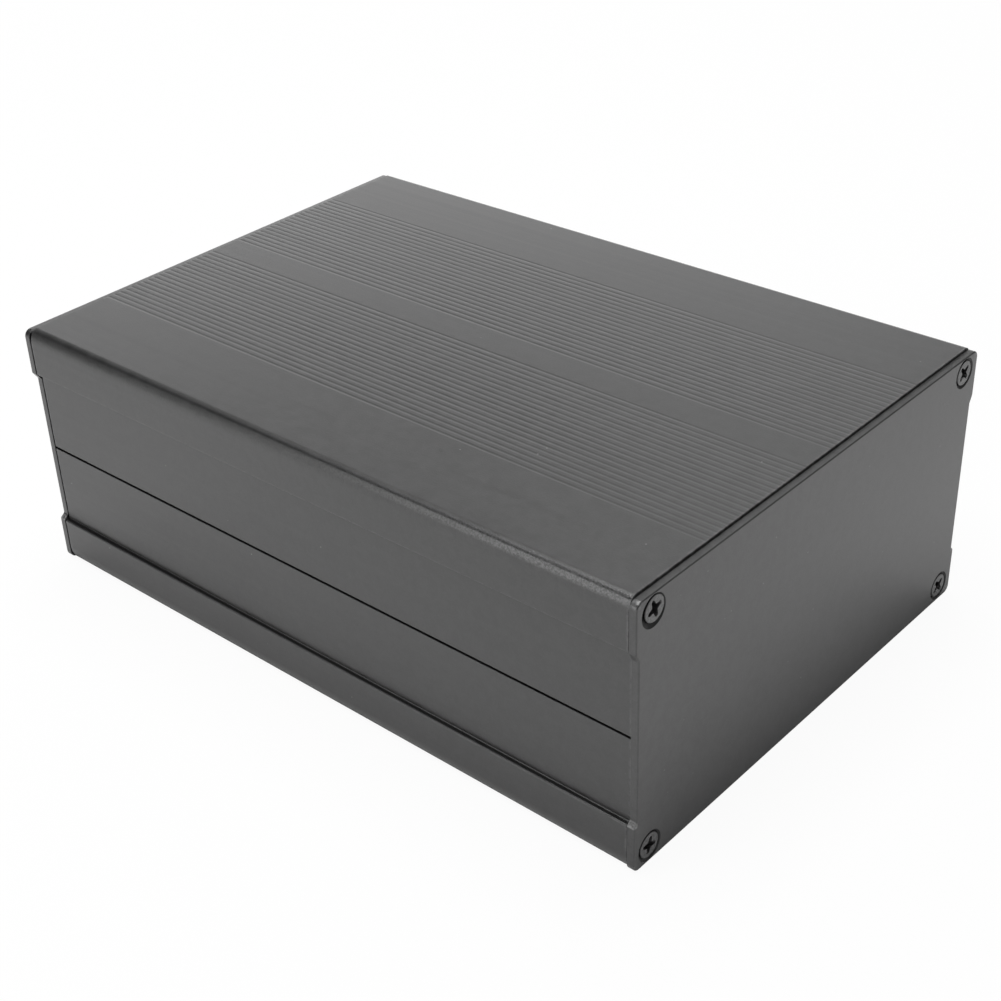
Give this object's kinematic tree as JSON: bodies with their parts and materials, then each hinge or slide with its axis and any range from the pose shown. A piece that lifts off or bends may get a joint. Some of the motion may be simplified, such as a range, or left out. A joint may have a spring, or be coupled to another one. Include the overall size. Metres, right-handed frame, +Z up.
{
  "type": "aluminium project box",
  "caption": "Long low black enclosure of two extruded shells that interlock at mid-height, with grooved broad faces, recessed sides and flat screwed end plates, for housing a circuit board.",
  "frame": {"origin": "middle of the underside, on the surface that the box rests on", "axes": "+X along the extruded shells towards the front end plate, +Z up, +Y across"},
  "size_m": [0.1536, 0.105, 0.055],
  "materials": {
    "anodised_shell": "satin black anodised extrusion",
    "anodised_plate": "satin black anodised sheet",
    "black_screw": "black steel, slightly glossy"
  },
  "bodies": {
    "root": {"upper_shell": "anodised_shell", "lower_shell": "anodised_shell", "front_end_plate": "anodised_plate", "rear_end_plate": "anodised_plate", "front_screw_top_left": "black_screw", "front_screw_top_right": "black_screw", "front_screw_bottom_left": "black_screw", "front_screw_bottom_right": "black_screw", "rear_screw_top_left": "black_screw", "rear_screw_top_right": "black_screw", "rear_screw_bottom_left": "black_screw", "rear_screw_bottom_right": "black_screw"}
  },
  "joints": []
}
